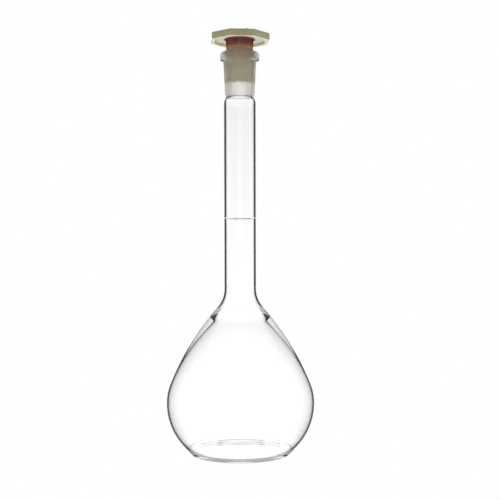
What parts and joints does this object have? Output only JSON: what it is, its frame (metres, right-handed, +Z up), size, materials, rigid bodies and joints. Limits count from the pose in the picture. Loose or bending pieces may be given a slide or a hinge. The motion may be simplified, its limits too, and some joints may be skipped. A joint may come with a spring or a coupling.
{
  "type": "volumetric flask",
  "caption": "Pear-shaped glass measuring flask with a long narrow neck, a level mark, a ground conical mouth and an octagonal-headed plastic stopper.",
  "frame": {"origin": "centre of the base, on the surface that the flask stands on", "axes": "+Z up along the flask's axis of revolution; the octagonal head is turned 5.6 degrees about +Z from having flats square to X and Y"},
  "size_m": [0.0808, 0.0808, 0.2297],
  "materials": {
    "clear_glass": "clear polished borosilicate glass",
    "socket_glass": "clear outside, ground matt white bore",
    "graduation_line": "pale grey fired-on line",
    "plug_plastic": "satin red-brown moulded plastic",
    "head_plastic": "satin ivory moulded plastic"
  },
  "bodies": {
    "flask": {"bulb": "clear_glass", "neck_tube": "clear_glass", "ground_socket": "socket_glass", "graduation_ring": "graduation_line"},
    "plug": {"stopper_plug": "plug_plastic"},
    "head": {"stopper_head": "head_plastic"}
  },
  "joints": [
    {"name": "stopper_lift", "type": "slide", "parent": "flask", "child": "plug", "axis": [0, 0, 1], "range_m": [0, 0.035]},
    {"name": "stopper_turn", "type": "hinge", "parent": "plug", "child": "head", "pos_m": [0, 0, 0.2275], "axis": [0, 0, 1], "continuous": true}
  ]
}
